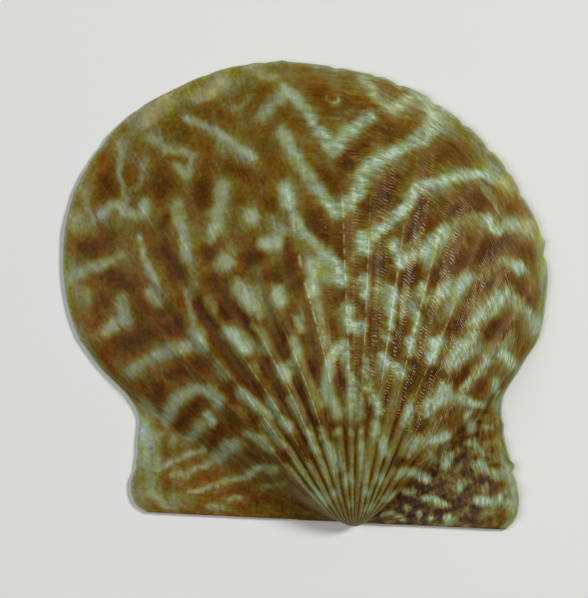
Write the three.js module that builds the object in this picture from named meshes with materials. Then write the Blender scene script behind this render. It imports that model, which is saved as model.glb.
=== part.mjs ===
// The left valve of a small wide-eared kelp scallop, one grown piece, lying hollow side down.
// The shell is laid out on its own hinge line: x forward along the hinge, y from the hinge to the lower
// margin, z out of the convex face, with the umbo (the oldest point) at the start. At the end it is
// moved so that the middle of its footprint, on the surface it rests on, is the origin. Millimetres, +Z up.
import * as THREE from "three";

// The growing edge as it is today, from the rear end of the hinge, over the lower margin, to the front end.
const MARGIN = [
  [-12.0, 0.0], // rear end of the hinge
  [-12.75, 0.5],
  [-13.05, 1.6], // rounded corner of the rear ear
  [-12.75, 2.7],
  [-12.75, 4.2], // its shallow hollow edge
  [-12.75, 5.5],
  [-13.5, 6.7], // where the rear ear meets the disc
  [-15.3, 8.4],
  [-16.7, 10.4],
  [-17.45, 13.0],
  [-17.6, 15.6],
  [-17.2, 18.0],
  [-16.0, 20.6],
  [-14.1, 22.9],
  [-11.5, 24.6],
  [-8.6, 25.9],
  [-5.4, 26.4],
  [-2.3, 26.2],
  [0.9, 25.6],
  [3.9, 24.2],
  [6.7, 22.0],
  [8.8, 19.3],
  [10.1, 16.5],
  [10.4, 13.9],
  [10.1, 11.5],
  [9.1, 9.4],
  [8.2, 7.7], // the byssal notch, under the front ear
  [8.15, 6.6],
  [8.45, 5.0],
  [9.0, 3.4],
  [9.4, 1.6], // corner of the front ear
  [9.2, 0.6],
  [8.7, 0.0], // front end of the hinge
];

// A place on the shell is a share u of the margin's length, rear to front, and a size s of the growing
// edge, from 0 at the umbo to 1 today. As the edge grew it turned about the hinge line.
const SPIRAL = 0.52; // radians of turn for each factor e of size
const EDGE = 0.3; // height of the outer face along the margin
const WALL = 0.5; // thickness of the wall, square to it
const FLUTES = 0.6; // share of the ribs' height that shows through on the inside
const REAR_EAR = { from: 0.07, to: 0.135, swell: 0.6 }; // the rear ear runs smoothly into the disc
const FRONT_EAR = { from: 0.872, to: 0.898, swell: 0.38 }; // the front ear lies a clear step below it

// Ribs, by the share of the margin that each one points to, and the finer riblets of the front ear.
const RIBS = [
  0.292, 0.335, 0.376, 0.421, 0.461, 0.502, 0.534, 0.562, 0.603, 0.643, 0.674, 0.702, 0.74, 0.79,
];
const RIB_HEIGHT = 0.34;
const RIB_FULL_AT = 0.34; // size of the edge at which the ribs have their full height
const RIB_FLATTENING = { from: 0.45, rear: 0.75, front: 0.5 }; // share of that height lost by the margin
const REAR_HALF = { until: 0.43, gone: 0.55 }; // where the rear ribs give way to the middle ones
const FRONT_RIBS = { from: 0.62, full: 0.78 }; // where the middle ribs give way to the front ones
const LEAN = { from: 0.1, to: 0.6, rear: 0.042, front: 0.045 }; // how far the ribs turn as they grow
const LAST_FOOT = 0.0225; // half the width of the first and the last rib, as a share of the margin
const RIBLETS = { from: 0.9, to: 0.995, count: 5, height: 0.12 };

// The inside: the hinge plate, with the pit of the elastic ligament under the umbo.
const PLATE_SIZE = 0.11; // size of the edge at which the hollow starts
const PIT = { from: 0.34, to: 0.68, side: 0.06, depth: 0.42 };
const LEAST_SLOPE = 0.3; // keeps the wall's drop in height finite where it stands almost upright

// Rows of the mesh by size of the edge, from the margin to the umbo.
const OUTER_ROWS = [
  1, 0.985, 0.96, 0.925, 0.88, 0.83, 0.775, 0.715, 0.65, 0.585, 0.52, 0.455, 0.395, 0.34, 0.29, 0.245,
  0.2, 0.16, 0.125, 0.095, 0.07, 0.05, 0.034, 0.022,
];
const INNER_ROWS = [1, 0.97, 0.93, 0.86, 0.77, 0.67, 0.57, 0.47, 0.38, 0.295, 0.22, 0.165, 0.125];
const PLATE_ROWS = [0.106, 0.085, 0.05];
const COARSE_BELOW = 0.15; // every second column ends here, towards the umbo
const COARSEST_BELOW = 0.06; // and every second one of those here

const { clamp, lerp, smoothstep } = THREE.MathUtils;
const marginCurve = new THREE.CatmullRomCurve3(
  MARGIN.map(([x, y]) => new THREE.Vector3(x, y, 0)),
  false,
  "centripetal",
);
marginCurve.arcLengthDivisions = 1600;

// How far a line of growth rises out of the hinge plane, as a share of the disc's own swell.
function swell(u) {
  const rear = lerp(REAR_EAR.swell, 1, smoothstep(u, REAR_EAR.from, REAR_EAR.to));
  const front = lerp(1, FRONT_EAR.swell, smoothstep(u, FRONT_EAR.from, FRONT_EAR.to));
  return rear * front;
}

// The outer face without its ribs: the margin scaled by s and turned about the hinge line.
function skin(u, s) {
  const edge = marginCurve.getPointAt(clamp(u, 0, 1));
  const turn = SPIRAL * Math.log(1 / s);
  const height = s * edge.y * swell(u) * Math.sin(turn);
  return new THREE.Vector3(s * edge.x, s * edge.y * Math.cos(turn), EDGE + height);
}

// The direction square to that face, outwards, from small steps along it.
function outwards(u, s) {
  const du = 1e-3;
  const ds = 1e-3 * s;
  const along = skin(u + du, s).sub(skin(u - du, s));
  const out = skin(u, s + ds).sub(skin(u, s - ds));
  return along.cross(out).normalize();
}

// How far the ribs have turned by size s: the rear ones back, the front ones forward.
function lean(u, s) {
  const rear = 1 - smoothstep(u, REAR_HALF.until, REAR_HALF.gone);
  const front = smoothstep(u, FRONT_RIBS.from, FRONT_RIBS.full);
  return (LEAN.front * front - LEAN.rear * rear) * smoothstep(s, LEAN.from, LEAN.to);
}

// Height of the ribs: 1 on each rib's crest, 0 half way between two, and fading out past the last ones.
function ribWave(u) {
  const next = RIBS.findIndex((at) => at > u);
  if (next > 0) {
    const share = (u - RIBS[next - 1]) / (RIBS[next] - RIBS[next - 1]);
    return 0.5 + 0.5 * Math.cos(2 * Math.PI * share);
  }
  const last = next === 0 ? RIBS[0] : RIBS.at(-1);
  const away = Math.min(Math.abs(u - last) / LAST_FOOT, 1);
  return 0.5 + 0.5 * Math.cos(Math.PI * away);
}

// Height of the front ear's riblets, which follow the same lines of growth.
function ribletWave(u) {
  const share = (u - RIBLETS.from) / (RIBLETS.to - RIBLETS.from);
  if (share <= 0 || share >= 1) return 0;
  return 0.5 - 0.5 * Math.cos(2 * Math.PI * RIBLETS.count * share);
}

// Height of the ribs, which are fine at the umbo, full in the middle and low at the margin.
function relief(u, s) {
  const grown = smoothstep(s, 0, RIB_FULL_AT);
  const front = smoothstep(u, REAR_HALF.until, REAR_HALF.gone);
  const flattening = lerp(RIB_FLATTENING.rear, RIB_FLATTENING.front, front);
  const worn = 1 - flattening * smoothstep(s, RIB_FLATTENING.from, 1);
  return grown * (RIB_HEIGHT * worn * ribWave(u - lean(u, s)) + RIBLETS.height * ribletWave(u));
}

// The outer face, with its ribs.
function outer(u, s) {
  return skin(u, s).addScaledVector(outwards(u, s), relief(u, s));
}

// The inner face: one wall's thickness below the outer one, and flat where that would be below the rim.
function inner(u, s) {
  const place = skin(u, s);
  const drop = (WALL - FLUTES * relief(u, s)) / Math.max(outwards(u, s).z, LEAST_SLOPE);
  place.z = Math.max(0, place.z - drop);
  return place;
}

// The hinge plate: flat, from the hinge line to the mouth of the hollow, with the ligament pit in it.
function plate(u, s) {
  const edge = marginCurve.getPointAt(u);
  const mouth = SPIRAL * Math.log(1 / PLATE_SIZE);
  const rearSide = smoothstep(u, PIT.from, PIT.from + PIT.side);
  const frontSide = 1 - smoothstep(u, PIT.to - PIT.side, PIT.to);
  const sunk = s > PLATE_ROWS[1] ? 0 : PIT.depth * rearSide * frontSide * (s / PLATE_ROWS[1]);
  return new THREE.Vector3(s * edge.x, s * edge.y * Math.cos(mouth), sunk);
}

// Columns of the mesh, closer together where the shape is finer.
function columns() {
  const runs = [[0, REAR_EAR.to, 16], [REAR_EAR.to, RIBS[0], 14]];
  for (let i = 1; i < RIBS.length; i++) runs.push([RIBS[i - 1], RIBS[i], 6]);
  runs.push([RIBS.at(-1), FRONT_EAR.from, 8], [FRONT_EAR.from, 1, 24]);
  const at = [0];
  for (const [from, to, count] of runs)
    for (let i = 1; i <= count; i++) at.push(lerp(from, to, i / count));
  return at;
}

const positions = [];
const faces = [];
const allColumns = columns();

// Puts one row of points into the mesh, and remembers each one's place along the row.
function addRow(pointAt, s, step) {
  return allColumns
    .filter((_, i) => i % step === 0)
    .map((u) => {
      positions.push(...pointAt(u, s).toArray());
      return { at: u, size: s, index: positions.length / 3 - 1 };
    });
}

// Joins two rows of points by a strip of triangles, whatever their numbers of points.
function zip(a, b, key) {
  let i = 0;
  let j = 0;
  while (i < a.length - 1 || j < b.length - 1) {
    const takeA = j === b.length - 1 || (i < a.length - 1 && key(a[i + 1]) <= key(b[j + 1]));
    if (takeA) faces.push(a[i].index, b[j].index, a[i + 1].index);
    else faces.push(a[i].index, b[j].index, b[j + 1].index);
    if (takeA) i++;
    else j++;
  }
}

// Closes a row onto one point at the umbo.
function fan(row, z) {
  positions.push(0, 0, z);
  const umbo = positions.length / 3 - 1;
  for (let i = 1; i < row.length; i++) faces.push(row[i - 1].index, umbo, row[i].index);
  return { size: 0, index: umbo };
}

function columnStep(s) {
  if (s < COARSEST_BELOW) return 4;
  return s < COARSE_BELOW ? 2 : 1;
}

const along = (point) => point.at;
const outerRows = OUTER_ROWS.map((s) => addRow(outer, s, columnStep(s)));
const innerRows = [
  ...INNER_ROWS.map((s) => addRow(s === 1 ? (u) => skin(u, 1).setZ(0) : inner, s, columnStep(s))),
  ...PLATE_ROWS.map((s) => addRow(plate, s, 4)),
];
for (let i = 1; i < outerRows.length; i++) zip(outerRows[i - 1], outerRows[i], along);
for (let i = 1; i < innerRows.length; i++) zip(innerRows[i], innerRows[i - 1], along);
zip(innerRows[0], outerRows[0], along);
const outerUmbo = fan(outerRows.at(-1), EDGE);
const innerStart = faces.length;
const innerUmbo = fan(innerRows.at(-1), 0);
for (let i = innerStart; i < faces.length; i += 3) [faces[i], faces[i + 1]] = [faces[i + 1], faces[i]];

// The narrow face along the hinge line joins the outer and the inner edge on either side of the umbo.
const bySize = (point) => -point.size;
const edgeOf = (rows, end, umbo) => [...rows.map((row) => row.at(end)), umbo];
zip(edgeOf(outerRows, 0, outerUmbo), edgeOf(innerRows, 0, innerUmbo), bySize);
zip(edgeOf(innerRows, -1, innerUmbo), edgeOf(outerRows, -1, outerUmbo), bySize);

const valve = new THREE.BufferGeometry();
valve.setAttribute("position", new THREE.Float32BufferAttribute(positions, 3));
valve.setIndex(faces);
valve.computeBoundingBox();
const { min, max } = valve.boundingBox;
valve.translate(-(min.x + max.x) / 2, -(min.y + max.y) / 2, -min.z);
valve.computeVertexNormals();

const shell = new THREE.MeshStandardMaterial({ color: 0x8a5a2c, roughness: 0.42, metalness: 0 });
const leftValve = new THREE.Mesh(valve, shell);
leftValve.name = "left_valve";

const scallop = new THREE.Group();
scallop.add(leftValve);

export default scallop;
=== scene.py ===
import math

import bpy
import numpy as np
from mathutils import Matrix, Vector


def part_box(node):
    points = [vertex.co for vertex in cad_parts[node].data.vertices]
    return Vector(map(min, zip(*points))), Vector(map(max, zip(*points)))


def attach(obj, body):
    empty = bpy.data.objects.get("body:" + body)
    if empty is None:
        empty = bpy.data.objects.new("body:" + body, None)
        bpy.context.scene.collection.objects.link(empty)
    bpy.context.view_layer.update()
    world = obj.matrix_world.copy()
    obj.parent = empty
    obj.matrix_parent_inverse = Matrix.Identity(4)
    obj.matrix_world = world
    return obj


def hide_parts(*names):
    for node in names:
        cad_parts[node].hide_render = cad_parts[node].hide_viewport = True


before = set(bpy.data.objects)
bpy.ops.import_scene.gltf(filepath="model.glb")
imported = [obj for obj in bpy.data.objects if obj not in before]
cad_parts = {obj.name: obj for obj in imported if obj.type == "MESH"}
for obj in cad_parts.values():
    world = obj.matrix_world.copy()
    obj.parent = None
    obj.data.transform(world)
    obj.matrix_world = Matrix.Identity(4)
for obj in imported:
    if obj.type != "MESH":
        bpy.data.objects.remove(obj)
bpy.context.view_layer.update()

low, high = (np.array(corner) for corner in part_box("left_valve"))
MM = 0.001

# The camera
# The valve was photographed from straight above, a little turned. What is read from the photograph is
# given in its pixels, x to the right and y down, and these values turn them into places on the valve.
PHOTO_SIZE = (588, 598)
PIXEL = 0.058 * MM
PHOTO_TURN = math.radians(2.78)
UMBO_IN_PHOTO = (355, 522)
CAMERA_HEIGHT = 350 * MM
SENSOR = 36.0
FRONT_END = 10.45 * MM  # from the umbo forward to the box's +X side
BEAK_OVERHANG = 0.29 * MM  # from the hinge line back to the box's -Y side

umbo = np.array([high[0] - FRONT_END, low[1] + BEAK_OVERHANG])


def from_photo(px, py):
    """Place in the plan of a photograph pixel: its offset from the umbo, scaled by PIXEL and turned."""
    across = (px - UMBO_IN_PHOTO[0]) * PIXEL
    down = (py - UMBO_IN_PHOTO[1]) * PIXEL
    x = across * math.cos(PHOTO_TURN) + down * math.sin(PHOTO_TURN)
    y = across * math.sin(PHOTO_TURN) - down * math.cos(PHOTO_TURN)
    return umbo[0] + x, umbo[1] + y


view_middle = from_photo(PHOTO_SIZE[0] / 2, PHOTO_SIZE[1] / 2)


def to_photo(points):
    """Photograph pixels of points: spread from the middle as they rise, then from_photo undone."""
    nearer = CAMERA_HEIGHT / (CAMERA_HEIGHT - points[..., 2])
    x = (points[..., 0] - view_middle[0]) * nearer + view_middle[0] - umbo[0]
    y = (points[..., 1] - view_middle[1]) * nearer + view_middle[1] - umbo[1]
    across = x * math.cos(PHOTO_TURN) + y * math.sin(PHOTO_TURN)
    down = x * math.sin(PHOTO_TURN) - y * math.cos(PHOTO_TURN)
    return UMBO_IN_PHOTO[0] + across / PIXEL, UMBO_IN_PHOTO[1] + down / PIXEL


camera_data = bpy.data.cameras.new("camera")
camera_data.sensor_width = SENSOR
camera_data.lens = SENSOR * CAMERA_HEIGHT / (max(PHOTO_SIZE) * PIXEL)
camera_data.clip_start = 10 * MM
camera = bpy.data.objects.new("camera", camera_data)
bpy.context.collection.objects.link(camera)
camera.location = (*view_middle, CAMERA_HEIGHT)
camera.rotation_euler = (0, 0, PHOTO_TURN)
bpy.context.scene.camera = camera

# The left valve
# One grown shell of calcite, half a millimetre thick, brown with pale zigzags. It was laid down at its
# margin, so each older margin is the same outline, smaller, turned about the hinge line.
# The margin in the plan, in millimetres from the umbo, from the hinge's rear end round to its front end.
MARGIN = np.array([
    (-12.0, 0.0), (-12.75, 0.5), (-13.05, 1.6), (-12.75, 2.7), (-12.75, 4.2), (-12.75, 5.5),
    (-13.5, 6.7), (-15.3, 8.4), (-16.7, 10.4), (-17.45, 13.0), (-17.6, 15.6), (-17.2, 18.0),
    (-16.0, 20.6), (-14.1, 22.9), (-11.5, 24.6), (-8.6, 25.9), (-5.4, 26.4), (-2.3, 26.2),
    (0.9, 25.6), (3.9, 24.2), (6.7, 22.0), (8.8, 19.3), (10.1, 16.5), (10.4, 13.9),
    (10.1, 11.5), (9.1, 9.4), (8.2, 7.7), (8.15, 6.6), (8.45, 5.0), (9.0, 3.4),
    (9.4, 1.6), (9.2, 0.6), (8.7, 0.0),
]) * MM
# Small steps of the margin, in photograph pixels, with how far each one stands out, in millimetres.
STEPS = [
    (282, 62, 0.08), (335, 71, -0.12), (376, 78, -0.09), (397, 88, -0.12), (432, 105, -0.14),
    (463, 126, -0.14), (487, 150, -0.12), (505, 172, -0.1), (521, 195, -0.1), (543, 243, 0.16),
    (541, 256, -0.1), (503, 425, 0.08), (515, 466, 0.17), (509, 473, -0.12), (138, 462, 0.07),
    (265, 67, -0.06), (245, 68, -0.05), (208, 75, -0.06), (143, 109, -0.06), (106, 147, -0.07),
    (88, 200, 0.05), (78, 340, 0.04),
]
STEP_WIDTH = 0.0035  # as a share of the margin's length
STEPS_FROM = 0.955  # size of the growing edge at which the steps start
SPIRAL = 0.52  # radians that the edge turns about the hinge while it grows e times larger
EDGE = 0.3 * MM  # thickness at the margin
WALL = 0.5 * MM
STEEPEST = 0.3  # the wall's upright thickness is worked out for slopes up to this share of upwards
FLUTES = 0.6  # share of the ribs' height that shows inside
RIBS = [0.292, 0.335, 0.376, 0.421, 0.461, 0.502, 0.534, 0.562, 0.603, 0.643, 0.674, 0.702, 0.74, 0.79]
LAST_FURROW = 10.72  # number past the rib behind which the steps of growth show between the ribs
REAR_LEAN = 0.042  # how far the rear ribs turn back, and the front ones forward, as they grow
FRONT_LEAN = 0.045
LAST_FOOT = 0.0225  # share of the margin over which the first and the last rib run out
RIB_HEIGHT = 0.24 * MM
RIBLETS = (0.9, 0.995, 5)  # where they start and end along the margin, and their number
RIBLET_HEIGHT = 0.14 * MM
BEADS_PER_RIBLET = 26
PLATE_SIZE = 0.11  # size of the growing edge up to which the hinge plate reaches
PIT_DEPTH = 0.42 * MM
PIT_MOUTH = 0.085  # size of the growing edge at which the ligament's pit is deepest
TIP_SIZE = 0.02  # size of the smallest edge that is drawn, at the umbo
ROWS_CROWD_TO_TIP = 1.15  # power by which the rows lie closer together near the umbo
RIM_BULGE = 0.05 * MM
COLUMNS = 385
OUTER_ROWS = 200
ROWS_PER_INNER_ROW = 4
RIM_ROWS = 4
# Zones of the valve: shares u of the margin's length from the rear on, and s of growth from the umbo on.
# Two values are where a zone starts and is full, four where it starts, is full, fades and is gone.
REAR_RIBS_END = (0.43, 0.55)
FRONT_RIBS_START = (0.62, 0.78)
LEAN_GROWS = (0.1, 0.6)
REAR_EAR_ENDS = (0.07, 0.135)
FRONT_EAR_STARTS = (0.862, 0.904)
EAR_RISE = (0.6, 0.38)  # the rear and the front ear's share of the rise that the disc has
RIBS_SHOW = (0.0, 0.34)
RIBS_WEAR = (0.45, 1.0)
RIBS_NARROW = (0.2, 0.5)
PIT_SIDES = (0.34, 0.4, 0.62, 0.68)
PAUSES = [(0.05 * MM, (0.27, 0.285)), (0.03 * MM, (0.945, 0.955))]  # drops of the face, and where


def smooth(x, start, end):
    """Smooth step: 0 before start, 1 after end, and 3t^2 - 2t^3 of the share t between them."""
    t = np.clip((x - start) / (end - start), 0, 1)
    return t * t * (3 - 2 * t)


def within(x, start, full, fading, gone):
    """Smooth hump: the smooth step from start to full, times 1 less the one from fading to gone."""
    return smooth(x, start, full) * (1 - smooth(x, fading, gone))


def margin_curve():
    """Centripetal Catmull-Rom curve through MARGIN, as fine steps, with each one's share of the length."""
    ends = np.vstack([2 * MARGIN[0] - MARGIN[1], MARGIN, 2 * MARGIN[-1] - MARGIN[-2]])
    p0, p1, p2, p3 = ends[:-3, None], ends[1:-2, None], ends[2:-1, None], ends[3:, None]
    d0 = np.sqrt(np.linalg.norm(p1 - p0, axis=2, keepdims=True))
    d1 = np.sqrt(np.linalg.norm(p2 - p1, axis=2, keepdims=True))
    d2 = np.sqrt(np.linalg.norm(p3 - p2, axis=2, keepdims=True))
    start = ((p1 - p0) / d0 - (p2 - p0) / (d0 + d1) + (p2 - p1) / d1) * d1
    end = ((p2 - p1) / d1 - (p3 - p1) / (d1 + d2) + (p3 - p2) / d2) * d1
    t = np.linspace(0, 1, 60, endpoint=False)[None, :, None]
    curve = (2 * t**3 - 3 * t**2 + 1) * p1 + (t**3 - 2 * t**2 + t) * start
    curve = curve + (3 * t**2 - 2 * t**3) * p2 + (t**3 - t**2) * end
    curve = np.vstack([curve.reshape(-1, 2), MARGIN[-1]])
    length = np.concatenate([[0], np.cumsum(np.linalg.norm(np.diff(curve, axis=0), axis=1))])
    return curve, length / length[-1]


curve, curve_share = margin_curve()
margin_length = np.linalg.norm(np.diff(curve, axis=0), axis=1).sum()


def margin_at(u):
    """Point of the margin at the share u of its length, between the nearest steps of its curve."""
    return np.interp(u, curve_share, curve[:, 0]), np.interp(u, curve_share, curve[:, 1])


def margin_outwards(u):
    """Unit direction square to the margin in the plan: the step to the next point, turned left."""
    x, y = margin_at(np.array([u - 1e-3, u + 1e-3]))
    out = np.stack([y[0] - y[1], x[1] - x[0]], axis=-1)
    return out / np.linalg.norm(out, axis=-1, keepdims=True)


def skin(u, s):
    """Outer face without its ribs: the margin scaled by s and turned about the hinge by SPIRAL ln(1/s)."""
    x, y = margin_at(u)
    rear = EAR_RISE[0] + (1 - EAR_RISE[0]) * smooth(u, *REAR_EAR_ENDS)
    front = 1 - (1 - EAR_RISE[1]) * smooth(u, *FRONT_EAR_STARTS)
    turn = SPIRAL * np.log(1 / s)
    rise = s * y * rear * front * np.sin(turn)
    return np.stack([s * x, s * y * np.cos(turn), EDGE + rise], axis=-1)


def square_to(points):
    """Unit direction square to a grid of points, outwards: the cross product of its steps both ways."""
    along = np.gradient(points, axis=1)
    out = np.gradient(points, axis=0)
    n = np.cross(along, out)
    return n / np.linalg.norm(n, axis=-1, keepdims=True)


def rib_phase(u, s):
    """Number of the rib at a place, whole on its crest: RIBS looked up at u, less what the ribs lean."""
    lean = FRONT_LEAN * smooth(u, *FRONT_RIBS_START) - REAR_LEAN * (1 - smooth(u, *REAR_RIBS_END))
    leaned = u - lean * smooth(s, *LEAN_GROWS)
    beyond = np.maximum(RIBS[0] - leaned, leaned - RIBS[-1]).clip(0)
    return np.interp(leaned, RIBS, np.arange(len(RIBS))) + np.minimum(beyond / LAST_FOOT, 1) / 2


def riblet_wave(u):
    """Cosine humps of the front ear's riblets between their two ends."""
    start, end, count = RIBLETS
    share = (u - start) / (end - start)
    return np.where((share > 0) & (share < 1), 0.5 - 0.5 * np.cos(2 * np.pi * count * share), 0)


def relief(u, s):
    """Height of the sculpture: ribs as powers of a cosine, broad at the umbo and worn to the margin,
    riblets times a cosine of beads, and a step down at each pause of growth."""
    grown = smooth(s, *RIBS_SHOW)
    flattening = 0.85 - 0.3 * smooth(u, *REAR_RIBS_END)
    worn = 1 - flattening * smooth(s, *RIBS_WEAR)
    hump = 0.5 + 0.5 * np.cos(2 * np.pi * rib_phase(u, s))
    sharp = 0.7 + 0.8 * smooth(s, *RIBS_NARROW)
    beads = 0.75 + 0.25 * np.cos(2 * np.pi * BEADS_PER_RIBLET * s)
    pauses = sum(drop * (1 - smooth(s, *place)) for drop, place in PAUSES)
    return grown * (RIB_HEIGHT * worn * hump**sharp + RIBLET_HEIGHT * beads * riblet_wave(u) + pauses)


u = np.linspace(0, 1, COLUMNS)[None, :]
s = (TIP_SIZE + (1 - TIP_SIZE) * np.linspace(0, 1, OUTER_ROWS + 1) ** ROWS_CROWD_TO_TIP)[:, None]
face = skin(u, s)
normal = square_to(face)
height = relief(u, s)
outer = face + height[..., None] * normal

# The margin's small steps push the last rows in or out, each as a bell round its place.
for px, py, depth in STEPS:
    place = np.array(from_photo(px, py)) - umbo
    step_at = curve_share[np.argmin(np.linalg.norm(curve - place, axis=1))]
    push = depth * MM * np.exp(-(((u - step_at) / STEP_WIDTH) ** 2)) * smooth(s, STEPS_FROM, 1)
    outer[..., :2] += push[..., None] * margin_outwards(u)

# The inside is the outer face a wall's thickness lower, with part of the ribs' height as flutes, and
# ends in the flat hinge plate with the ligament's pit.
s_in = s[::ROWS_PER_INNER_ROW]
inner = face[::ROWS_PER_INNER_ROW].copy()
steep = np.maximum(normal[::ROWS_PER_INNER_ROW, :, 2], STEEPEST)
inner[..., 2] -= (WALL - FLUTES * height[::ROWS_PER_INNER_ROW]) / steep
inner[..., 2] = np.maximum(inner[..., 2], 0)
plate_turn = SPIRAL * np.log(1 / PLATE_SIZE)
pit = PIT_DEPTH * within(u, *PIT_SIDES) * s_in / PIT_MOUTH
plate_z = np.where(s_in < PIT_MOUTH, pit, 0)
plate = np.stack([s_in * margin_at(u)[0], s_in * margin_at(u)[1] * math.cos(plate_turn), plate_z], axis=-1)
inner = np.where((s_in < PLATE_SIZE)[..., None], plate, inner)
inner[-1, :, :2] = outer[-1, :, :2]

# The edge is rounded: its middle stands out a little, square to the margin.
share = np.linspace(0, 1, RIM_ROWS + 1)[1:-1, None, None]
rim = outer[-1] * (1 - share) + inner[-1] * share
rim[..., :2] += RIM_BULGE * np.sin(math.pi * share) * margin_outwards(u)
rows = np.concatenate([outer, rim, inner[::-1]])
n_rows = len(rows)
index = np.arange(n_rows * COLUMNS).reshape(n_rows, COLUMNS)
corners = [index[:-1, :-1], index[:-1, 1:], index[1:, 1:], index[1:, :-1]]
quads = np.stack(corners, axis=-1).reshape(-1, 4)
outer_tip = n_rows * COLUMNS
inner_tip = outer_tip + 1


def hinge_face(column):
    """Triangles between the outer and the inner edge in the hinge plane: a fan from each inner point."""
    top = index[: OUTER_ROWS + 1, column]
    bottom = index[-len(s_in) :, column][::-1]
    k = np.arange(OUTER_ROWS)
    fans = np.stack([bottom[k // ROWS_PER_INNER_ROW], top[k], top[k + 1]], axis=-1)
    gaps = np.stack([bottom[:-1], top[ROWS_PER_INNER_ROW::ROWS_PER_INNER_ROW], bottom[1:]], axis=-1)
    ends = np.array([[inner_tip, outer_tip, top[0]], [inner_tip, top[0], bottom[0]]])
    side = index[OUTER_ROWS : OUTER_ROWS + RIM_ROWS + 1, column]
    rim_fan = np.stack([np.full(RIM_ROWS - 1, side[0]), side[1:-1], side[2:]], axis=-1)
    return np.concatenate([fans, gaps, ends, rim_fan])


outer_fan = np.stack([np.full(COLUMNS - 1, outer_tip), index[0, 1:], index[0, :-1]], axis=-1)
inner_fan = np.stack([np.full(COLUMNS - 1, inner_tip), index[-1, :-1], index[-1, 1:]], axis=-1)
triangles = np.concatenate([outer_fan, inner_fan, hinge_face(0), hinge_face(-1)[:, ::-1]])
points = np.concatenate([rows.reshape(-1, 3), [(0, 0, EDGE), (0, 0, 0)]])
points[:, :2] += umbo

mesh = bpy.data.meshes.new("valve")
mesh.from_pydata(points.tolist(), [], quads.tolist() + triangles.tolist())
mesh.polygons.foreach_set("use_smooth", np.ones(len(mesh.polygons), dtype=bool))
valve = bpy.data.objects.new("valve", mesh)
bpy.context.collection.objects.link(valve)

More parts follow.
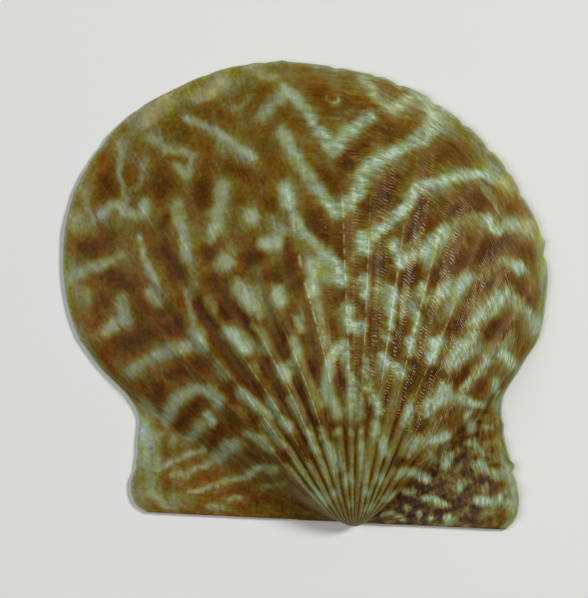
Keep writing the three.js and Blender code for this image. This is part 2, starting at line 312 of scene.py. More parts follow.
# The markings are brush strokes: a width and a strength, then the points of the line, in photograph
# pixels. A stroke of one point is a spot.
PALE = [
    # the zigzags of the upper middle
    (9, 0.8, (363, 78), (373, 92), (384, 105), (393, 110), (402, 102), (415, 97), (427, 104), (433, 116)),
    (13, 0.9, (335, 213), (346, 207), (356, 197), (361, 183), (364, 172), (372, 163), (384, 157), (397, 151),
     (410, 144), (423, 138), (432, 128), (435, 117)),
    (11, 0.8, (334, 212), (324, 198), (314, 184), (304, 168), (293, 155), (287, 143), (283, 132)),
    (9, 0.9, (284, 88), (292, 95), (300, 103), (308, 113), (313, 120)),
    (12, 0.85, (319, 132), (327, 142), (334, 149), (341, 140), (349, 132), (359, 125), (370, 117)),
    (12, 0.65, (284, 89), (278, 98), (270, 108), (262, 117)),
    (3, 0.7, (327, 96), (329, 102), (334, 104), (338, 101), (338, 96)),
    # the upper left
    (7, 0.95, (186, 118), (198, 122), (212, 130), (227, 139), (242, 149), (254, 158)),
    (11, 0.85, (147, 122), (153, 113), (160, 103), (165, 96)),
    (10, 0.85, (196, 98), (206, 96), (216, 91), (222, 80)),
    (10, 0.7, (252, 68), (262, 73), (272, 76)),
    (5, 0.4, (232, 110), (243, 106), (250, 98)),
    (7, 0.8, (150, 138), (158, 141), (165, 150), (176, 151), (187, 153), (193, 156)),
    (6, 0.8, (192, 157), (191, 168), (187, 178)),
    (9, 0.8, (187, 177), (182, 172), (177, 166)),
    (6, 0.8, (120, 143), (121, 156), (119, 168), (120, 178), (124, 188), (126, 200)),
    (6, 0.5, (147, 160), (142, 172), (139, 186), (130, 190)),
    (9, 0.95, (103, 214), (110, 206), (120, 205), (126, 213), (137, 215), (145, 212), (145, 203)),
    (8, 1, (144, 208)),
    (5, 0.6, (82, 190), (86, 200), (89, 212), (95, 222)),
    (10, 0.85, (178, 205), (178, 213), (180, 222), (183, 235), (185, 248), (187, 258)),
    (11, 0.9, (222, 186), (221, 195), (220, 207), (217, 222), (211, 238)),
    (14, 1, (252, 217)),
    (12, 1, (262, 243), (270, 243), (278, 240)),
    (8, 0.6, (278, 240), (282, 230)),
    (17, 1, (225, 262)),
    (13, 0.95, (284, 188), (288, 203)),
    (8, 0.8, (295, 215), (300, 225), (303, 235)),
    # the middle
    (16, 0.95, (240, 287), (246, 296), (252, 305)),
    (15, 1, (230, 331), (237, 339), (243, 346)),
    (9, 0.6, (254, 308), (260, 316)),
    (10, 0.9, (313, 265), (312, 280), (313, 295)),
    (7, 0.6, (313, 295), (318, 312), (322, 330), (325, 345)),
    (12, 0.95, (328, 255), (335, 265), (340, 280)),
    (8, 0.75, (298, 222), (306, 233), (316, 245), (327, 257)),
    (12, 1, (362, 237), (364, 250)),
    (10, 0.95, (375, 235), (383, 228), (392, 218), (402, 212), (410, 202), (415, 191), (425, 185),
     (440, 181), (452, 178), (463, 174), (472, 175), (482, 174), (494, 178)),
    (10, 0.6, (402, 258), (412, 250), (420, 238)),
    (11, 0.95, (393, 245), (397, 256), (400, 265)),
    (13, 0.9, (408, 257), (419, 253), (430, 245), (438, 238), (446, 229)),
    (9, 0.8, (393, 290), (394, 303), (392, 318), (391, 328)),
    (7, 0.8, (405, 290), (403, 305), (402, 315)),
    (9, 0.95, (364, 278), (365, 295)),
    (12, 0.9, (347, 308), (348, 317), (352, 326), (360, 328)),
    (9, 0.5, (378, 285), (388, 290), (395, 300)),
    (8, 0.8, (422, 285), (425, 300)),
    (9, 0.95, (325, 402), (325, 385), (328, 368), (335, 352), (343, 345)),
    (10, 0.85, (345, 350), (347, 365), (352, 385), (358, 400), (357, 412)),
    (11, 0.8, (333, 403), (337, 416)),
    (16, 0.85, (353, 392), (355, 417)),
    (8, 0.6, (364, 362), (367, 374), (371, 386)),
    (10, 0.9, (369, 388), (373, 400)),
    (8, 0.9, (410, 340), (411, 352)),
    (6, 0.8, (417, 315), (415, 330)),
    (8, 0.6, (381, 335), (389, 338)),
    (10, 0.95, (382, 358), (392, 365), (402, 372)),
    (9, 0.95, (375, 400), (380, 410)),
    # the right
    (9, 0.95, (487, 219), (493, 227), (498, 231)),
    (10, 0.55, (446, 229), (455, 223), (467, 219), (480, 219), (488, 221)),
    (8, 0.4, (478, 182), (488, 192), (496, 204), (499, 214), (496, 227)),
    (12, 0.65, (506, 226), (516, 223), (528, 228)),
    (12, 0.9, (437, 298), (443, 290), (450, 283)),
    (11, 0.85, (449, 291), (458, 284), (466, 278)),
    (8, 0.5, (466, 278), (480, 277), (485, 268)),
    (9, 0.5, (482, 276), (492, 266), (502, 261), (511, 263)),
    (9, 1, (517, 265), (521, 270)),
    (14, 0.95, (475, 325), (483, 315), (491, 305), (499, 297), (506, 292)),
    (10, 0.7, (506, 294), (515, 300), (523, 307), (530, 316), (536, 328)),
    (14, 0.95, (474, 335), (468, 345), (460, 355), (452, 365)),
    (10, 0.45, (511, 338), (504, 346), (495, 352), (488, 358)),
    (10, 0.85, (500, 352), (508, 358), (513, 365)),
    (8, 0.8, (490, 360), (480, 370), (470, 382), (463, 390)),
    (9, 1, (436, 340), (434, 350), (431, 360)),
    (13, 1, (445, 388), (440, 397), (433, 405), (428, 412)),
    (8, 0.9, (460, 398), (470, 402), (480, 405)),
    (6, 0.7, (495, 380), (497, 392)),
    (9, 1, (410, 410), (406, 423)),
    # round the umbo
    (8, 1, (382, 440), (385, 452)),
    (6, 0.9, (376, 425), (378, 432)),
    (6, 0.95, (321, 437)),
    (7, 0.95, (337, 432)),
    (6, 0.95, (352, 433)),
    (8, 0.95, (307, 430), (312, 440), (314, 450)),
    (10, 0.95, (330, 448), (335, 458), (338, 468)),
    (7, 0.8, (362, 445), (364, 465), (366, 480)),
    (11, 0.95, (348, 480)),
    (10, 0.95, (380, 478)),
    (9, 0.95, (366, 492)),
    (7, 0.95, (334, 494)),
    (8, 0.95, (320, 496), (325, 502)),
    (6, 0.6, (352, 503)),
    # the lower left
    (12, 1, (283, 372), (286, 376)),
    (9, 0.85, (293, 340), (297, 350), (293, 362)),
    (10, 0.85, (299, 320), (301, 328)),
    (12, 0.95, (278, 291), (280, 299)),
    (9, 0.45, (253, 368), (257, 377)),
    (9, 0.95, (240, 393), (250, 401), (262, 408), (272, 416)),
    (9, 1, (283, 420), (287, 428)),
    (8, 0.8, (268, 400), (274, 408)),
    (9, 0.9, (264, 422), (272, 433), (281, 445)),
    (8, 0.9, (247, 433), (258, 440), (270, 450)),
    (8, 0.8, (290, 400), (296, 412), (302, 425)),
    (9, 1, (208, 415), (212, 422)),
    (10, 0.85, (202, 424), (196, 432), (190, 438)),
    (8, 0.6, (171, 441), (177, 437)),
    (11, 0.95, (167, 420), (170, 409), (177, 400), (186, 393), (195, 389), (205, 390), (213, 394),
     (219, 401)),
    (11, 0.85, (132, 371), (140, 364), (152, 357), (165, 352), (178, 349), (190, 345)),
    (13, 0.9, (196, 334), (200, 346)),
    (6, 0.7, (186, 292), (189, 305), (193, 320), (197, 332)),
    (10, 0.8, (122, 298), (122, 307), (121, 316), (113, 325), (104, 333)),
    (6, 0.9, (140, 237), (142, 248), (145, 262), (152, 275), (159, 292)),
    (12, 0.9, (151, 293), (156, 301)),
    (10, 0.85, (68, 281), (80, 273), (92, 268), (103, 265), (113, 260), (121, 255)),
    (8, 0.6, (85, 290), (88, 300)),
    (12, 0.85, (237, 443), (226, 450), (217, 458)),
    (8, 0.5, (218, 365), (226, 378)),
    (9, 0.5, (208, 300), (214, 310)),
    (7, 0.55, (252, 325), (262, 335), (268, 350)),
    (10, 0.5, (190, 270), (192, 285), (190, 295)),
    # the rear ear
    (5, 0.8, (158, 470), (170, 463), (182, 457), (195, 452), (205, 450)),
    (6, 0.8, (172, 474), (185, 474), (198, 468), (212, 463)),
    (5, 0.8, (190, 492), (205, 489), (220, 483), (235, 479), (248, 477)),
    (7, 0.85, (250, 473), (263, 467), (275, 470)),
    (6, 0.5, (262, 488), (275, 485), (285, 483)),
    (6, 0.6, (150, 493), (158, 499), (165, 505), (175, 507)),
    (6, 0.7, (210, 505), (222, 507)),
    (5, 0.7, (230, 500), (240, 497)),
    (10, 0.6, (146, 405), (152, 415)),
    (8, 0.7, (143, 440), (155, 437), (163, 432)),
    (9, 0.5, (148, 455), (156, 462)),
    # the front ear
    (8, 0.95, (398, 475), (408, 472), (418, 474), (426, 479)),
    (7, 0.8, (403, 490), (412, 493)),
    (6, 0.9, (383, 500), (392, 496)),
    (6, 0.9, (370, 505), (366, 510)),
    (7, 0.85, (425, 498), (436, 501), (445, 504)),
    (6, 0.85, (408, 508)),
    (6, 0.85, (420, 514)),
    (6, 0.85, (402, 518)),
    (6, 0.85, (430, 520)),
    (8, 0.85, (448, 518)),
    (5, 0.9, (383, 515), (393, 513), (402, 519)),
    (9, 0.8, (458, 487)),
    (8, 0.7, (468, 443), (478, 448), (485, 452)),
    (9, 0.9, (448, 455), (446, 465)),
    (9, 0.75, (478, 465), (488, 470), (497, 476)),
    (8, 0.9, (478, 500), (490, 502), (500, 500)),
    (7, 0.6, (487, 486), (483, 492)),
    (10, 0.9, (426, 442), (436, 438), (446, 438)),
    (7, 0.9, (418, 437), (412, 447), (407, 454)),
    (10, 0.6, (430, 457)),
    (9, 0.7, (468, 415), (471, 428)),
]
DARK = [
    # the upper half
    (12, 1, (345, 165), (352, 155)),
    (10, 0.6, (322, 170), (333, 190)),
    (14, 0.5, (372, 120), (385, 130), (390, 138)),
    (12, 0.3, (437, 153), (442, 160)),
    (10, 0.7, (372, 210), (380, 200), (385, 190)),
    (12, 0.45, (345, 225), (348, 245)),
    (15, 1, (375, 262)),
    (9, 0.9, (420, 205), (415, 222), (408, 238)),
    (14, 1, (405, 285), (413, 272)),
    (11, 0.8, (449, 267), (458, 262), (466, 262)),
    (10, 0.7, (432, 281), (437, 272)),
    (14, 0.7, (478, 195), (475, 210)),
    (10, 0.6, (425, 225), (440, 220)),
    (13, 0.95, (485, 255), (496, 245), (504, 240)),
    (10, 0.6, (505, 240), (518, 249)),
    (8, 0.5, (510, 210), (518, 215)),
    (12, 0.9, (511, 288), (519, 294), (524, 300)),
    (9, 0.8, (487, 285), (497, 286)),
    (14, 0.8, (88, 245), (95, 250)),
    (12, 0.8, (104, 272), (117, 278), (130, 289)),
    (8, 0.9, (165, 250), (172, 262), (180, 275)),
    (10, 1, (208, 250), (210, 257)),
    (13, 1, (249, 259), (257, 254)),
    (9, 0.8, (268, 276), (278, 280)),
    (12, 0.7, (105, 180), (110, 190)),
    (12, 0.8, (203, 185), (205, 200)),
    (10, 0.5, (160, 195), (168, 182), (172, 188)),
    (7, 0.7, (163, 225), (168, 215)),
    (8, 0.8, (270, 203), (271, 209)),
    (10, 0.5, (240, 200)),
    (8, 0.4, (283, 175), (280, 185)),
    (7, 0.7, (287, 240), (290, 255), (292, 270)),
    (14, 0.7, (313, 220), (320, 230)),
    (9, 0.4, (235, 168), (247, 170)),
    # the lower half
    (12, 1, (452, 326), (463, 327)),
    (12, 1, (485, 335), (497, 325)),
    (11, 1, (433, 375)),
    (11, 1, (455, 385), (465, 370)),
    (12, 0.7, (480, 385)),
    (8, 0.8, (412, 420), (418, 425)),
    (7, 0.8, (425, 420), (436, 412)),
    (10, 0.6, (400, 330), (395, 345), (392, 355)),
    (8, 0.8, (416, 365), (412, 375), (408, 388)),
    (12, 1, (342, 380), (342, 390)),
    (8, 1, (313, 365)),
    (8, 0.9, (308, 425), (318, 422), (330, 424), (345, 422), (358, 424), (368, 415), (372, 400)),
    (8, 0.9, (302, 432), (303, 442)),
    (9, 0.9, (272, 445), (285, 458)),
    (9, 0.9, (300, 445), (306, 455)),
    (7, 0.9, (282, 405), (288, 418)),
    (8, 0.9, (250, 420), (258, 430)),
    (10, 0.9, (225, 388), (233, 398)),
    (12, 0.6, (228, 420), (232, 425)),
    (9, 0.9, (218, 430), (214, 440)),
    (10, 0.9, (196, 303), (205, 318), (214, 334), (227, 353), (243, 377), (257, 392)),
    (9, 0.8, (212, 278), (222, 290), (230, 303)),
    (11, 1, (197, 362), (203, 366)),
    (8, 0.7, (170, 375), (180, 372)),
    (9, 0.9, (180, 424), (190, 412), (198, 403)),
    (10, 0.8, (158, 388), (160, 395)),
    (11, 0.8, (115, 340), (130, 343), (145, 338)),
    (9, 0.8, (165, 328), (178, 325)),
    (12, 0.6, (97, 308), (105, 300)),
    (14, 0.7, (142, 303), (160, 314)),
    (10, 0.9, (297, 285)),
    (10, 1, (232, 306), (243, 318), (255, 328)),
    (10, 1, (223, 308), (230, 320)),
    (11, 0.9, (283, 337)),
    (8, 0.9, (280, 345), (284, 355)),
    (8, 0.8, (265, 360), (270, 375)),
    (8, 0.9, (275, 390), (282, 400)),
    (8, 0.6, (297, 385)),
    (6, 0.9, (367, 395), (367, 415)),
    (5, 0.7, (350, 330), (350, 350), (352, 370)),
    (10, 0.8, (347, 295)),
    (7, 0.6, (357, 303)),
    (8, 0.7, (372, 312), (372, 330)),
    (5, 0.5, (388, 320), (385, 335)),
    # the front ear
    (6, 0.9, (400, 488), (415, 483), (425, 487)),
    (6, 0.7, (395, 500), (408, 505)),
    (9, 0.9, (398, 462)),
    (8, 0.7, (440, 485), (450, 492)),
    (8, 0.8, (470, 495), (478, 492)),
    (11, 0.9, (492, 488)),
    (9, 0.6, (480, 508)),
    (9, 0.5, (455, 425), (462, 432)),
    (7, 0.6, (478, 430), (484, 438)),
]
LIGHTER = [
    (12, 0.5, (220, 150), (238, 158), (256, 166)),
    (14, 0.4, (305, 145), (325, 160), (335, 165)),
    (16, 0.5, (400, 112), (412, 112), (422, 120)),
    (12, 0.4, (390, 163), (400, 160)),
    (14, 0.25, (448, 130), (462, 140), (476, 152), (490, 165)),
    (12, 0.5, (530, 228), (540, 246)),
    (10, 0.8, (322, 190), (330, 197)),
    (10, 0.5, (430, 192), (445, 189)),
    (8, 0.7, (447, 237), (437, 250), (425, 268)),
    (10, 1, (464, 284), (455, 300), (447, 318)),
    (12, 0.8, (493, 316), (500, 304), (508, 301)),
    (12, 0.5, (538, 225), (545, 260), (543, 300), (535, 330)),
    (14, 0.5, (512, 222), (524, 234)),
    (12, 0.9, (507, 184), (511, 188)),
    (12, 0.6, (525, 316), (529, 330)),
    (14, 0.6, (432, 348), (450, 345), (470, 345), (492, 348)),
    (12, 0.8, (453, 398), (459, 395)),
    (10, 1, (415, 290), (411, 308)),
    (12, 0.8, (380, 288), (384, 302)),
    (12, 0.6, (385, 370), (390, 376)),
    (8, 0.8, (331, 370), (334, 398)),
    (10, 0.5, (290, 445), (303, 463), (318, 490)),
    (9, 0.7, (286, 462), (303, 480), (320, 498)),
    (10, 0.3, (318, 452), (326, 475)),
    (7, 0.7, (257, 433), (269, 443), (280, 455)),
    (6, 0.8, (207, 325), (222, 340), (238, 358), (246, 370)),
    (8, 0.7, (262, 350), (275, 372)),
    (10, 0.9, (320, 262), (328, 280)),
    (14, 0.6, (292, 235), (303, 250), (312, 262)),
    (10, 0.7, (270, 214), (275, 226)),
    (9, 0.5, (258, 265), (262, 290)),
    (12, 0.9, (121, 308), (125, 318), (112, 328)),
    (14, 0.5, (82, 292), (90, 310)),
    (14, 0.9, (74, 220), (88, 235)),
    (16, 0.8, (146, 430), (151, 450), (150, 475), (153, 490)),
    (10, 0.7, (160, 497), (190, 502)),
    (12, 0.8, (487, 425), (492, 440), (500, 460)),
    (10, 0.6, (493, 386), (494, 400), (493, 412)),
    (14, 0.9, (488, 513), (506, 509)),
    (14, 0.8, (505, 470), (512, 485), (512, 502), (506, 518)),
    (6, 0.7, (435, 482), (455, 492), (475, 490), (495, 480)),
]
DARKER = [
    (12, 0.6, (327, 322), (333, 342)),
    (12, 0.7, (328, 240), (338, 258)),
    (10, 0.6, (290, 308), (297, 322)),
    (12, 0.7, (245, 350), (258, 374)),
    (8, 0.7, (322, 405), (325, 415)),
    (8, 0.6, (313, 372)),
    (10, 0.7, (299, 393), (307, 415)),
    (8, 0.8, (333, 438), (334, 444)),
    (10, 0.6, (263, 419), (275, 427)),
    (10, 0.7, (284, 436), (295, 441)),
    (10, 0.4, (218, 280), (238, 281)),
    (14, 0.6, (192, 298), (204, 318)),
    (12, 0.6, (101, 322), (106, 326)),
    (8, 0.7, (172, 331), (185, 337)),
    (8, 0.6, (250, 455), (265, 465)),
    (14, 0.7, (411, 463)),
    (14, 0.7, (425, 503), (445, 512)),
    (14, 0.6, (400, 515), (408, 513)),
    (10, 0.6, (457, 213)),
    (10, 0.5, (395, 333)),
]
WARM = [
    (14, 0.7, (72, 240), (80, 205), (95, 170), (120, 130), (160, 95), (200, 78)),
    (14, 0.5, (200, 78), (245, 68), (300, 72), (345, 78), (380, 86)),
    (30, 0.6, (300, 72), (340, 80), (385, 92), (410, 110)),
    (14, 0.9, (146, 121), (166, 98)),
    (13, 0.9, (204, 97), (223, 76)),
    (12, 0.7, (245, 70), (276, 77)),
    (14, 0.8, (385, 88), (392, 93)),
    (14, 0.25, (400, 95), (440, 112), (475, 140), (500, 168)),
    (26, 0.5, (190, 480), (250, 490)),
    (20, 1, (510, 187)),
    (12, 0.8, (522, 208), (535, 240)),
    (14, 0.8, (82, 290)),
    (16, 0.7, (90, 320), (110, 360)),
]
WOBBLE = 1.0  # photograph pixels by which the strokes' edges wander
# How far from its line a stroke is full and gone, in its own widths.
PALE_EDGE = (0.1, 1.05)
PALE_HALO = (0.4, 2.4)
DARK_EDGE = (0.0, 1.15)
DARK_HALO = (0.4, 2.2)
TONE_EDGE = (0.1, 1.2)
WARM_EDGE = (0.2, 1.2)
# Zones of the markings, given as those of the valve.
UMBO_ENDS = (0.25, 0.5)
REAR_ENDS = (0.22, 0.42)
STRIPES_START = ((0.44, 0.56), (0.2, 0.4))
GREYED_ENDS = (0.4, 0.5)
GREYED_STARTS = (0.45, 0.65)
RIBBED = (0.22, 0.27, 0.79, 0.83)
BEADED = (0.38, 0.43, 0.62, 0.66)
BEAD_ROW = (0.272, 0.008)  # its share of growth, and its half width
PALE_MARGIN = (0.925, 0.985)
EDGE_BAND = (0.99, 1.0)
LINED_REAR = ((0.24, 0.29), (0.08, 0.14, 0.38, 0.5))
LINED_MIDDLE = ((0.68, 0.72), (0.3, 0.42, 0.6, 0.78))
REAR_RIBS = 4.5  # rib number up to which the crest lines are those of the rear
LADDER_BEHIND = 0.45  # how far behind a crest its ladder of growth steps runs, in ribs
REAR_FURROW_SHADE_SHIFT = 0.08  # how far the painted shade of the rear's furrows runs ahead of the true furrows, in ribs
FLANKS = ((0.49, 0.53, 0.8, 0.84), (0.27, 0.38, 0.72, 0.95))
FLANKS_FULL = (0.56, 0.61)
RIM_DIMS = (0.7, 0.95)
FRONT_EAR = ((0.84, 0.875), (0.08, 0.2), (0.9, 0.97))
HINGE_OF_EAR = ((0.88, 0.94), (0.8, 0.95))
# Tones, from 0, the darkest brown, to 1, milky white.
TONE_MID = 0.28
TONE_OF_EDGE = 0.85
TONE_OF_PALE = 0.91


def painted(strokes, px, py, core, gone):
    """Strength of the strokes at each place: full to core widths off a line, none from gone widths off."""
    total = np.zeros_like(px)
    for width, strength, *line in strokes:
        line = np.array(line if len(line) > 1 else line * 2, dtype=float)
        start = line[:-1, :, None, None]
        step = line[1:, :, None, None] - start
        offset = np.stack([px, py])[None] - start
        along = (offset * step).sum(axis=1) / np.maximum((step**2).sum(axis=1), 1e-9)
        away = np.linalg.norm(offset - np.clip(along, 0, 1)[:, None] * step, axis=1).min(axis=0)
        total = np.maximum(total, strength * (1 - smooth(away / width, core, gone)))
    return total


world_outer = outer + np.array([*umbo, 0])
px, py = to_photo(world_outer)
wander_x = np.sin(px / 3.7 + 1.3 * np.sin(py / 5.1)) + np.sin(py / 2.9 + px / 7.3)
wander_y = np.sin(py / 4.1 + 1.1 * np.sin(px / 4.7)) + np.sin(px / 3.3 - py / 6.1)
px = px + WOBBLE / 2 * wander_x
py = py + WOBBLE / 2 * wander_y

near_umbo = 1 - smooth(s, *UMBO_ENDS)
forward = smooth(u, *REAR_ENDS)
stripes = smooth(u, *STRIPES_START[0]) * smooth(s, *STRIPES_START[1])
greyed = (1 - smooth(u, *GREYED_ENDS)) * smooth(s, *GREYED_STARTS)
ribbed = near_umbo * within(u, *RIBBED)
pale = painted(PALE, px, py, *PALE_EDGE) * (1 - 0.2 * near_umbo)
dark = painted(DARK, px, py, *DARK_EDGE)

# The ground's tone: painted shade in the furrows between the ribs at the umbo, a halo round each stroke,
# touches of light and shade, a row of pale beads where growth paused, and a pale margin.
rib = rib_phase(u, s)
furrow_shade = (0.5 - 0.5 * np.cos(2 * np.pi * (rib + REAR_FURROW_SHADE_SHIFT * (1 - forward)))) ** 3
tone = TONE_MID + 0.04 * greyed + (0.24 - 0.4 * furrow_shade) * ribbed + 0.2 * smooth(s, *PALE_MARGIN)
halo = (0.15 + 0.05 * forward) * (1 - 0.6 * near_umbo)
tone = tone + halo * painted(PALE, px, py, *PALE_HALO) - 0.12 * painted(DARK, px, py, *DARK_HALO)
tone = tone + 0.35 * painted(LIGHTER, px, py, *TONE_EDGE) - 0.3 * painted(DARKER, px, py, *TONE_EDGE)
beads = np.exp(-(((s - BEAD_ROW[0]) / BEAD_ROW[1]) ** 2)) * (0.5 + 0.5 * np.cos(2 * np.pi * rib)) ** 2
tone = tone + 0.35 * beads * within(u, *BEADED)
tone = tone + (TONE_OF_EDGE - tone) * smooth(s, *EDGE_BAND)
warm = np.maximum(painted(WARM, px, py, *WARM_EDGE), 0.25 * ribbed * (1 - pale))

# Where painted highlight lines run on the ribs' crests, and ladders of painted glints between the ribs.
lined_rear = smooth(u, *LINED_REAR[0]) * within(s, *LINED_REAR[1])
lined_middle = (1 - smooth(u, *LINED_MIDDLE[0])) * within(s, *LINED_MIDDLE[1])
lined = np.where(rib < REAR_RIBS, lined_rear, lined_middle)
ladder = np.where(rib < LAST_FURROW, rib - LADDER_BEHIND, rib)
flank = (0.35 + 0.65 * smooth(u, *FLANKS_FULL)) * within(u, *FLANKS[0]) * within(s, *FLANKS[1])
rusting = (1 - 0.4 * forward) * (1 - 0.7 * near_umbo)
pale_tone = TONE_OF_PALE - 0.06 * greyed + 0.05 * stripes * (1 - 0.8 * smooth(s, *RIM_DIMS))
front_ear = smooth(u, *FRONT_EAR[0]) * smooth(s, *FRONT_EAR[1]) * (1 - 0.8 * smooth(s, *FRONT_EAR[2]))
ear_hinge = smooth(u, *HINGE_OF_EAR[0]) * (1 - smooth(s, *HINGE_OF_EAR[1]))


def on_every_point(values, rim_value):
    """Values of the outer grid for all the mesh's points: a rim value, every fourth row inside, two tips."""
    rim_rows = np.full((RIM_ROWS - 1, COLUMNS), rim_value)
    grid = np.concatenate([values, rim_rows, values[::ROWS_PER_INNER_ROW][::-1]])
    return np.concatenate([grid.ravel(), [values[0].mean()] * 2])


ones = np.ones_like(px)
inside = np.concatenate([np.zeros(OUTER_ROWS + RIM_ROWS), np.ones(len(s_in))])
inside = np.append(np.repeat(inside, COLUMNS), [0, 1])
for name, values in (
    ("tone", on_every_point(tone, TONE_OF_EDGE)),
    ("pale", on_every_point(pale, 0)),
    ("dark", on_every_point(dark, 0)),
    ("warm", on_every_point(warm, 0.4)),
    ("stripes", on_every_point(stripes, 0)),
    ("rib", on_every_point(rib, 0.5)),
    ("lined", on_every_point(lined, 0)),
    ("ladder", on_every_point(ladder, 0.5)),
    ("flank", on_every_point(flank, 0)),
    ("rusting", on_every_point(rusting, 0.5)),
    ("greyed", on_every_point(greyed, 0)),
    ("pale_tone", on_every_point(pale_tone, 0.84)),
    ("front_ear", on_every_point(front_ear, 0)),
    ("ear_hinge", on_every_point(ear_hinge, 0)),
    ("along", on_every_point(u * margin_length / MM * ones, 0)),
    ("growth", on_every_point(s * MARGIN[:, 1].max() / MM * ones, 26)),
    ("inside", inside),
):
    mesh.attributes.new(name, "FLOAT", "POINT").data.foreach_set("value", values)

material = bpy.data.materials.new("shell")
material.use_nodes = True
nodes = material.node_tree.nodes
links = material.node_tree.links
shader = nodes["Principled BSDF"]


def put(value, socket):
    """Sets a socket: a link from another socket, or a plain value."""
    if isinstance(value, bpy.types.NodeSocket):
        links.new(value, socket)
    else:
        socket.default_value = value


def attribute(name):
    """The mesh's own value of that name."""
    node = nodes.new("ShaderNodeAttribute")
    node.attribute_name = name
    return node.outputs["Fac"]


def calc(operation, a, b=0.0, c=0.0):
    """One step of arithmetic."""
    node = nodes.new("ShaderNodeMath")
    node.operation = operation
    for value, socket in zip((a, b, c), node.inputs):
        put(value, socket)
    return node.outputs[0]


def noise(vector, scale, detail=2.0):
    """Fractal noise with its middle at 0, about -0.5 to 0.5."""
    node = nodes.new("ShaderNodeTexNoise")
    put(vector, node.inputs["Vector"])
    node.inputs["Scale"].default_value = scale
    node.inputs["Detail"].default_value = detail
    return calc("SUBTRACT", node.outputs["Fac"], 0.5)


def stretched(x, y):
    """Coordinates on the shell: millimetres along the margin times x, and of growth times y."""
    node = nodes.new("ShaderNodeCombineXYZ")
    put(calc("MULTIPLY", attribute("along"), x), node.inputs["X"])
    put(calc("MULTIPLY", attribute("growth"), y), node.inputs["Y"])
    return node.outputs[0]


def mixed(factor, a, b, blend="MIX"):
    """Colour a turned to colour b by the factor."""
    node = nodes.new("ShaderNodeMix")
    node.data_type = "RGBA"
    node.blend_type = blend
    put(factor, node.inputs["Factor"])
    put(a, node.inputs["A"])
    put(b, node.inputs["B"])
    return node.outputs["Result"]


def blended(factor, a, b):
    """Number a turned to number b by the factor."""
    return calc("MULTIPLY_ADD", calc("SUBTRACT", b, a), factor, a)


def stepped(value, start, end, kind="SMOOTHSTEP"):
    """Step from 0 at start to 1 at end, smooth or in a straight line."""
    node = nodes.new("ShaderNodeMapRange")
    node.interpolation_type = kind
    put(value, node.inputs["Value"])
    node.inputs["From Min"].default_value = start
    node.inputs["From Max"].default_value = end
    return node.outputs["Result"]


# The grain of the pigment, in rays on the front half and in bands on the rear, breaks the strokes' edges
# up, and so do the blotches.
FLECKS_PER_METRE = 1700
GRAINS_PER_METRE = 4500
rays = noise(stretched(3.0, 0.6), 1.0)
bands = noise(stretched(1.0, 4.0), 1.0)
mottle = noise(stretched(1.6, 1.6), 1.0, 4.0)
blotches = noise(stretched(0.45, 0.55), 1.0, 3.0)
grain = calc("MULTIPLY_ADD", mottle, 0.6, blended(attribute("stripes"), calc("MULTIPLY", rays, 0.35), bands))
threads = noise(stretched(8.0, 1.4), 1.0)
dashes = noise(stretched(3.5, 9.0), 1.0)
on_object = nodes.new("ShaderNodeTexCoord").outputs["Object"]
grains = noise(on_object, GRAINS_PER_METRE)
fine = blended(attribute("stripes"), calc("MULTIPLY_ADD", threads, 0.25, grains), dashes)
uneven = calc("MULTIPLY_ADD", blotches, 0.7, calc("MULTIPLY", grain, 0.8))
pale_edge = stepped(calc("ADD", uneven, attribute("pale")), 0.05, 1.0, "LINEAR")
dark_edge = stepped(calc("ADD", uneven, attribute("dark")), 0.05, 1.0, "LINEAR")

# The tone at each place: the ground's, speckled on the front ear, then the dark strokes and the pale ones.
flecks = calc("MULTIPLY", noise(on_object, FLECKS_PER_METRE), attribute("front_ear"))
tone_value = calc("MULTIPLY_ADD", blotches, 0.6, attribute("tone"))
tone_value = calc("MULTIPLY_ADD", flecks, 1.7, tone_value)
tone_value = calc("MULTIPLY_ADD", attribute("front_ear"), -0.12, tone_value)
tone_value = blended(dark_edge, tone_value, 0.06)
tone_value = blended(pale_edge, tone_value, attribute("pale_tone"))
tone_value = calc("MULTIPLY_ADD", grain, 0.4, tone_value)
tone_value = calc("MULTIPLY_ADD", fine, blended(pale_edge, 0.4, 0.2), tone_value)
# Painted glints: short bright dashes on the front half, thin bright streaks along the rays of the rear.
thin_rays = stepped(noise(stretched(5.0, 0.35), 1.0, 0.0), 0.17, 0.26)
glints = stepped(noise(stretched(1.8, 9.0), 1.0, 0.0), 0.14, 0.26)
sparkle = blended(attribute("stripes"), calc("MULTIPLY", thin_rays, 0.08), calc("MULTIPLY", glints, 0.12))
tone_value = calc("ADD", tone_value, sparkle)

# The steps of growth, five or six to a millimetre, are painted as ladders of glints in a darker band
# between the ribs, and the crests of the ribs as thin painted highlight lines.
LAMELLAE_PER_MM = 5.4
waver = calc("MULTIPLY_ADD", noise(stretched(0.8, 0.6), 1.0, 3.0), 0.9, attribute("growth"))
steps = calc("SINE", calc("MULTIPLY", waver, 2 * math.pi * LAMELLAE_PER_MM))
between = stepped(calc("PINGPONG", attribute("ladder"), 0.5), 0.24, 0.12)
between = calc("MULTIPLY", between, attribute("flank"))
rung_glints = calc("MULTIPLY", stepped(steps, 0.0, 0.9), stepped(noise(stretched(2.2, 1.6), 1.0, 3.0), -0.1, 0.16))
rung_glints = calc("MULTIPLY", rung_glints, between)
# thin painted highlight lines along the ribs' crests
crests = stepped(calc("PINGPONG", attribute("rib"), 0.5), 0.045, 0.01)
crests = calc("MULTIPLY", crests, stepped(noise(stretched(0.6, 3.0), 1.0, 3.0), -0.12, 0.12))
crests = calc("MULTIPLY", crests, attribute("lined"))
tone_value = calc("MULTIPLY_ADD", between, -0.14, tone_value)
tone_value = calc("MULTIPLY_ADD", rung_glints, 0.35, tone_value)
tone_value = calc("MULTIPLY_ADD", crests, 0.28, tone_value)

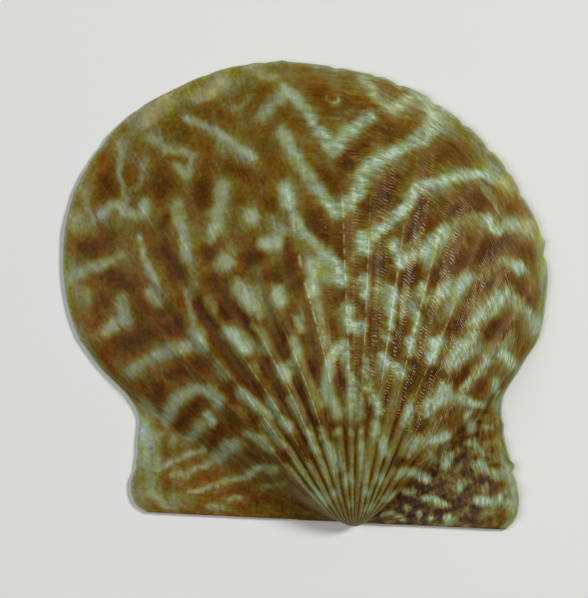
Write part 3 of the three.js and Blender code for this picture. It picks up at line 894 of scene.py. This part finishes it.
# The colours: crimson brown, ochre, olive and greenish white by tone, tinted in soft patches.
RAMP = [
    (0.0, (0.045, 0.013, 0.002)), (0.2, (0.1, 0.042, 0.003)), (0.4, (0.155, 0.1, 0.012)),
    (0.6, (0.2, 0.19, 0.06)), (0.8, (0.28, 0.335, 0.18)), (0.92, (0.36, 0.46, 0.3)),
    (1.0, (0.5, 0.65, 0.52)),
]
RUST_TINT = (1.3, 0.87, 0.6, 1)
OLIVE_TINT = (0.94, 1.04, 0.85, 1)
MILK_TINT = (1.08, 0.95, 1.0, 1)
WARM_TINT = (1.35, 0.95, 0.5, 1)
BLUE_OF_HINGE = (0.0, 0.014, 0.017, 1)
GLINT_CREAM = (0.52, 0.46, 0.26, 1)
LINING = (0.62, 0.56, 0.44, 1)
LINING_COVERS = 0.65  # how much of the outside's colour the lining hides
ramp = nodes.new("ShaderNodeValToRGB")
while len(ramp.color_ramp.elements) < len(RAMP):
    ramp.color_ramp.elements.new(0.5)
for element, (position, colour) in zip(ramp.color_ramp.elements, RAMP):
    element.position = position
    element.color = (*colour, 1)
links.new(tone_value, ramp.inputs["Fac"])
rust = noise(stretched(0.7, 0.65), 1.0, 3.0)
rust_here = calc("MULTIPLY", stepped(rust, -0.16, 0.14), stepped(tone_value, 0.6, 0.35))
rust_here = calc("MULTIPLY", rust_here, attribute("rusting"))
rusty = mixed(rust_here, ramp.outputs["Color"], RUST_TINT, "MULTIPLY")
olive_here = calc("MULTIPLY", stepped(rust, 0.06, -0.16), calc("SUBTRACT", 1.2, attribute("rusting")))
olive_here = calc("MULTIPLY", olive_here, stepped(tone_value, 0.8, 0.5))
olive = mixed(olive_here, rusty, OLIVE_TINT, "MULTIPLY")
# Patches bluer or yellower, most on the darks: partly the shell's own mauve and ochre, partly painted sheen
# of small highlights on the dark brown.
ochre_to_mauve = noise(stretched(0.9, 0.9), 1.0, 2.0)
blueness = calc("MULTIPLY_ADD", ochre_to_mauve, blended(pale_edge, 3.5, 0.9), 1.0)
blue_patches = nodes.new("ShaderNodeCombineColor")
blue_patches.inputs["Red"].default_value = 1.0
blue_patches.inputs["Green"].default_value = 1.0
links.new(calc("MAXIMUM", blueness, 0.3), blue_patches.inputs["Blue"])
patchy = mixed(1.0, olive, blue_patches.outputs["Color"], "MULTIPLY")
milky = calc("MULTIPLY", pale_edge, attribute("greyed"))
milked = mixed(milky, patchy, MILK_TINT, "MULTIPLY")
blue_grey = mixed(attribute("ear_hinge"), milked, BLUE_OF_HINGE, "ADD")
warmed = mixed(calc("MULTIPLY", attribute("warm"), 0.6), blue_grey, WARM_TINT, "MULTIPLY")
# the painted glints and crest highlights, mixed in cream over the colour
painted_glint_lines = calc("MAXIMUM", calc("MULTIPLY", rung_glints, 0.6), calc("MULTIPLY", crests, 0.4))
outside = mixed(painted_glint_lines, warmed, GLINT_CREAM)
lining = mixed(LINING_COVERS, outside, LINING)
links.new(mixed(attribute("inside"), outside, lining), shader.inputs["Base Color"])
shader.inputs["Roughness"].default_value = 0.42
shader.inputs["Specular IOR Level"].default_value = 0.18
shader.inputs["Specular Tint"].default_value = (1, 0.86, 0.5, 1)

# The relief of the steps of growth, strongest in the front half, and faint rays.
BUMP_HEIGHT = 0.005 * MM
LAMELLAE_WEAR = (26.0, 20.0)  # millimetres of growth at which they are gone and still whole
lamellae = calc("MULTIPLY", steps, blended(attribute("stripes"), 0.1, 1.0))
lamellae = calc("MULTIPLY", lamellae, stepped(attribute("growth"), *LAMELLAE_WEAR))
lamellae = calc("MULTIPLY", lamellae, stepped(noise(stretched(0.5, 0.3), 1.0), -0.15, 0.2))
surface = calc("MULTIPLY_ADD", rays, 1.2, lamellae)
bump = nodes.new("ShaderNodeBump")
bump.inputs["Distance"].default_value = BUMP_HEIGHT
links.new(surface, bump.inputs["Height"])
links.new(bump.outputs["Normal"], shader.inputs["Normal"])
mesh.materials.append(material)

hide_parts("left_valve")
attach(valve, "root")

# The floor
# A plain pale table top, which isn't part of the object.
FLOOR_HALF = 400 * MM
FLOOR_COLOUR = (0.86, 0.86, 0.84, 1)
floor_mesh = bpy.data.meshes.new("floor")
floor_corners = [(x * FLOOR_HALF, y * FLOOR_HALF, 0) for x, y in ((-1, -1), (1, -1), (1, 1), (-1, 1))]
floor_mesh.from_pydata(floor_corners, [], [(0, 1, 2, 3)])
floor = bpy.data.objects.new("floor", floor_mesh)
bpy.context.collection.objects.link(floor)
floor_material = bpy.data.materials.new("floor")
floor_material.use_nodes = True
floor_shader = floor_material.node_tree.nodes["Principled BSDF"]
floor_shader.inputs["Base Color"].default_value = FLOOR_COLOUR
floor_shader.inputs["Roughness"].default_value = 0.8
floor_mesh.materials.append(floor_material)


# The light
# A soft lamp at the upper right, a larger and weaker one at the left, and a dim even sky.
def softbox(name, place, size, power):
    """Square area lamp aimed at the valve: its place and side in metres, its power in watts."""
    data = bpy.data.lights.new(name, "AREA")
    data.size = size
    data.energy = power
    lamp = bpy.data.objects.new(name, data)
    bpy.context.collection.objects.link(lamp)
    lamp.location = place
    lamp.rotation_euler = Vector(place).to_track_quat("Z", "Y").to_euler()


softbox("lamp_right", (0.22, 0.1, 0.24), 0.08, 0.75)
softbox("lamp_left", (-0.2, -0.04, 0.24), 0.25, 0.42)
world = bpy.data.worlds.new("sky")
world.use_nodes = True
world.node_tree.nodes["Background"].inputs["Color"].default_value = (1, 1, 1, 1)
world.node_tree.nodes["Background"].inputs["Strength"].default_value = 0.1
bpy.context.scene.world = world
bpy.context.scene.view_settings.view_transform = "Standard"
